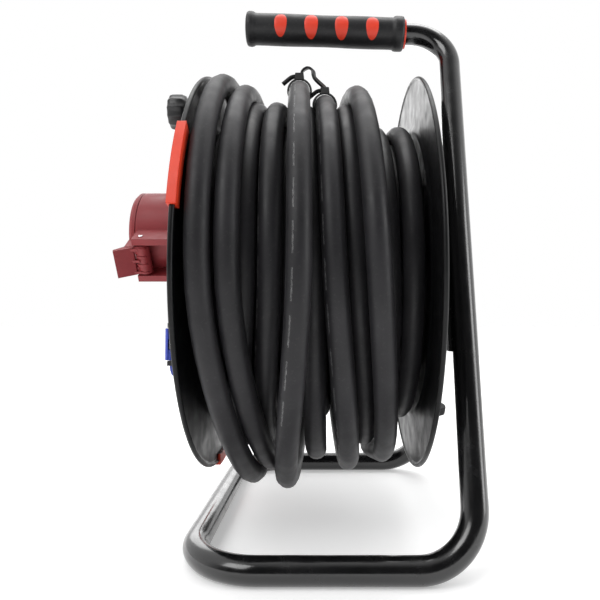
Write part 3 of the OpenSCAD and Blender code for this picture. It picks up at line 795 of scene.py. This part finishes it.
def build_insert(name, x, front, replaces=()):
    """An egg-shaped insert, domed a little over the round grip, wide at the top."""
    rings, spokes = 7, 40
    half_wide, half_tall, drop, egg = 5.8, 12.0, 1.0, 0.14

    def on_grip(across, rise, reach):
        """The place of a point whose reach is 0 in the middle of the insert and 1 at its edge."""
        radius = GRIP_R + 0.12 + 0.55 * (1.0 - reach ** 4) - 0.15
        angle = rise / GRIP_R
        return HANDLE @ Vector((x + across - POST_TOP.x, -front * radius * math.cos(angle),
                                radius * math.sin(angle)))

    points = [on_grip(0.0, 0.0, 0.0)]
    for ring in range(1, rings + 1):
        reach = ring / rings
        for spoke in range(spokes):
            angle = math.tau * spoke / spokes
            across = half_wide * math.sin(angle) * reach * (1.0 + egg * math.cos(angle))
            rise = (half_tall * math.cos(angle) - drop) * reach
            points.append(on_grip(across, rise, reach))
    faces = []
    for spoke in range(spokes):
        n = (spoke + 1) % spokes
        faces.append((0, 1 + spoke, 1 + n))
        for ring in range(rings - 1):
            a, b = 1 + ring * spokes, 1 + (ring + 1) * spokes
            faces.append((a + spoke, b + spoke, b + n, a + n))
    if front < 0:
        faces = [face[::-1] for face in faces]
    piece(name, points, faces, "accent_red", "frame", replaces=replaces)


build_grip()
FIRST_INSERT, INSERT_PITCH = -29.5, 26.4
for side_name, front in (("front", 1), ("back", -1)):
    for i in range(4):
        first = side_name == "front" and i == 0
        build_insert(f"insert_{side_name}_{i}", FIRST_INSERT + INSERT_PITCH * i, front,
                     replaces=("grip_inserts",) if first else ())


# ---------------------------------------------------------------- drum

def flange_profile(inner):
    """Sheet with a pressed round rib and a rolled rim; height 0 is its inner side."""
    rib_r, rib_half, rib_deep, bead_r = 118.0, 6.0, 1.4, 1.75

    def wave(r):
        near = min(abs(r - rib_r), rib_half)
        return -rib_deep * (0.5 + 0.5 * math.cos(math.pi * near / rib_half))

    stops = [inner] + [rib_r - rib_half + i for i in range(13)] + [FLANGE_R - 4.5]
    outside = [(r, wave(r) + SHEET_T) for r in stops]
    inside = [(r, wave(r)) for r in reversed(stops)]
    bead = [(FLANGE_R - bead_r + bead_r * math.cos(math.radians(a)),
             SHEET_T / 2 + bead_r * math.sin(math.radians(a))) for a in range(150, -151, -20)]
    return outside + bead + inside


def build_flange(name, place, inner, node_name):
    """One flange, turned round the axle."""
    points, faces = lathe(flange_profile(inner), place, 192, closed=True)
    crease(piece(name, points, faces, "flange_paint", "drum", replaces=(node_name,)), 50.0)


build_flange("flange_left", on_left(0, 0, SHEET_IN), CORE_R - 2.5, "left_flange")
build_flange("flange_right", along_axle(SHEET_IN), 15.5, "right_flange")


def build_nubs():
    """Wedge buffers on the outside of the right flange."""
    outline = [(145.0, 0.05), (155.0, 0.05), (153.4, 5.2), (152.6, 6.0), (150.6, 6.0),
               (149.6, 5.4)]
    count = len(outline)
    faces = [tuple(range(count))[::-1], tuple(range(count, 2 * count))]
    faces += [(k, (k + 1) % count, count + (k + 1) % count, count + k) for k in range(count)]
    for i in range(3):
        place = along_axle(SHEET_IN + SHEET_T) @ turned(120 * i - 50, "Z")
        points = [place @ Vector((r, y, h)) for y in (-3.5, 3.5) for r, h in outline]
        round_edges(piece(f"nub_{i + 1}", points, faces, "knob_black", "drum", smooth=False,
                          replaces=("flange_nubs",) if i == 0 else ()), 0.6)


build_nubs()


def build_knob():
    """Winding knob: a slim neck and a fluted head."""
    foot, face, head = 85.55, 117.2, 13.5
    place = on_left(-34.0, 129.0, foot)
    tall = face - foot
    neck = tall - head
    profile = [(4.4, 0.0), (8.6, 0.0), (9.0, 0.6), (8.4, 2.4), (7.7, 5.0), (7.7, 9.0),
               (8.1, 13.0), (9.0, neck - 3.0), (11.2, neck - 0.8), (13.4, neck + 0.6),
               (14.2, neck + 2.2), (14.3, neck + 6.0), (14.2, tall - 3.4), (13.6, tall - 1.4),
               (12.2, tall - 0.3), (8.4, tall), (8.0, tall - 0.5), (7.6, tall - 0.4),
               (3.0, tall - 0.3), (0.01, tall - 0.3)]

    def flute(radius, height, angle):
        if radius < 12.0 or height < neck:
            return radius
        return radius - 0.95 * (0.5 - 0.5 * math.cos(12 * angle)) ** 0.6

    points, faces = lathe(profile, place, 144, flute)
    piece("knob", points, faces, "knob_black", "winding_knob",
          replaces=("winding_knob", "knob_cap"))


build_knob()


def build_spring(name, place, radius, wire, half, turns, legs, replaces):
    """A torsion spring along local X, with a straight leg at each end."""
    path = [Vector((-half, 0.0, radius)) + Vector((0.0, -legs, 0.0))]
    steps = turns * 20
    for i in range(steps + 1):
        angle = math.tau * turns * i / steps
        path.append(Vector((-half + 2 * half * i / steps, radius * math.sin(angle),
                            radius * math.cos(angle))))
    path.append(Vector((half, 0.0, radius)) + Vector((0.0, -legs, 0.0)))
    points, faces = sweep([place @ p for p in path], circle(wire, 10))
    piece(name, points, faces, "spring_steel", "drum", replaces=replaces)


def hinge_place(socket, hinge):
    """The place of a socket's hinge; local Z is outwards."""
    y, z, turn = socket
    return on_left(y, z, DOME_TOP, turn) @ Matrix.Translation(hinge)


cee_hinge = hinge_place(CEE_SOCKET, CEE_HINGE)
household_hinges = [hinge_place(socket, HOUSEHOLD_HINGE) for socket in HOUSEHOLD_SOCKETS]
build_spring("socket_spring", cee_hinge @ turned(90.0, "Z"), radius=2.7, wire=0.55, half=4.2,
             turns=6, legs=1.5, replaces=("cee_spring",))
for number, hinge in enumerate(household_hinges, 1):
    build_spring(f"lid_spring_{number}", hinge, radius=1.75, wire=0.4, half=3.2, turns=6,
                 legs=0.8, replaces=("schuko_springs",) if number == 1 else ())


def build_shell(name, hinge, inner, outer, low, high, span, material, body):
    """A part of a tube round a hinge, from low to high along it and span degrees each way."""
    steps = 24
    angles = [math.radians(-span + 2 * span * i / steps) for i in range(steps + 1)]
    outline = [(outer * math.cos(a), outer * math.sin(a)) for a in angles]
    outline += [(inner * math.cos(a), inner * math.sin(a)) for a in reversed(angles)]
    count = len(outline)
    points = [hinge @ Vector((x, y, z)) for y in (low, high) for x, z in outline]
    faces = [(i, (i + 1) % count, count + (i + 1) % count, count + i) for i in range(count)]
    for i in range(steps):
        j = count - 1 - i
        faces.append((i, j, j - 1, i + 1))
        faces.append((count + i, count + i + 1, count + j - 1, count + j))
    return round_edges(crease(piece(name, points, faces, material, body)), 0.3)


def build_hinge_covers():
    """Shells on the lids that cover their hinge springs; the big lid's has four ribs."""
    build_shell("hinge_cover", cee_hinge, 4.85, 5.75, -10.6, 10.6, 78.0, "cee_red", "cee_lid")
    for number, y in enumerate((-9.6, -3.2, 3.2, 9.6), 1):
        build_shell(f"hinge_rib_{number}", cee_hinge, 5.6, 6.4, y - 0.8, y + 0.8, 38.0,
                    "cee_red", "cee_lid")
    for number, hinge in enumerate(household_hinges, 1):
        build_shell(f"lid_cover_{number}", hinge @ turned(-90.0, "Y") @ turned(-90.0, "X"),
                    2.95, 3.65, -11.9, 11.9, 78.0, "lid_blue", f"schuko_lid_{number}")


build_hinge_covers()


def build_leads():
    """Five sleeved leads that sag between the terminal block and the socket."""
    first_y, pitch = 14.0, 8.0
    for i in range(5):
        y = first_y + pitch * i
        path = smooth_path([(-64.5, y, 28.0), (-69.0, y - 2.0, 28.5), (-76.0, y - 26.0, 24.0),
                            (-82.0, y - 52.0, 24.5), (-87.0, y - 70.0, 28.0)], 2.0)
        points, faces = sweep(path, circle(1.6, 14))
        piece(f"lead_{i + 1}", points, faces, "lead_brown", "drum",
              replaces=("panel_leads",) if i == 0 else ())


build_leads()


# ---------------------------------------------------------------- floor

FLOOR_HALF = 6
FLOOR_GLOW = 0.35


def build_floor():
    """White paper that glows a little, so that its far edge doesn't show against the walls."""
    mesh = bpy.data.meshes.new("floor")
    signs = ((-1, -1), (1, -1), (1, 1), (-1, 1))
    corners = [(x * FLOOR_HALF, y * FLOOR_HALF, 0) for x, y in signs]
    mesh.from_pydata(corners, [], [(0, 1, 2, 3)])
    floor = bpy.data.objects.new("floor", mesh)
    bpy.context.scene.collection.objects.link(floor)
    paper = finish_material("floor_paper", (0.86, 0.86, 0.86), 0.9, mottle=0.01, grain=300.0,
                            specular=0.0)
    shader = paper.node_tree.nodes["Principled BSDF"]
    shader.inputs["Emission Color"].default_value = WHITE
    shader.inputs["Emission Strength"].default_value = FLOOR_GLOW
    mesh.materials.append(paper)


build_floor()
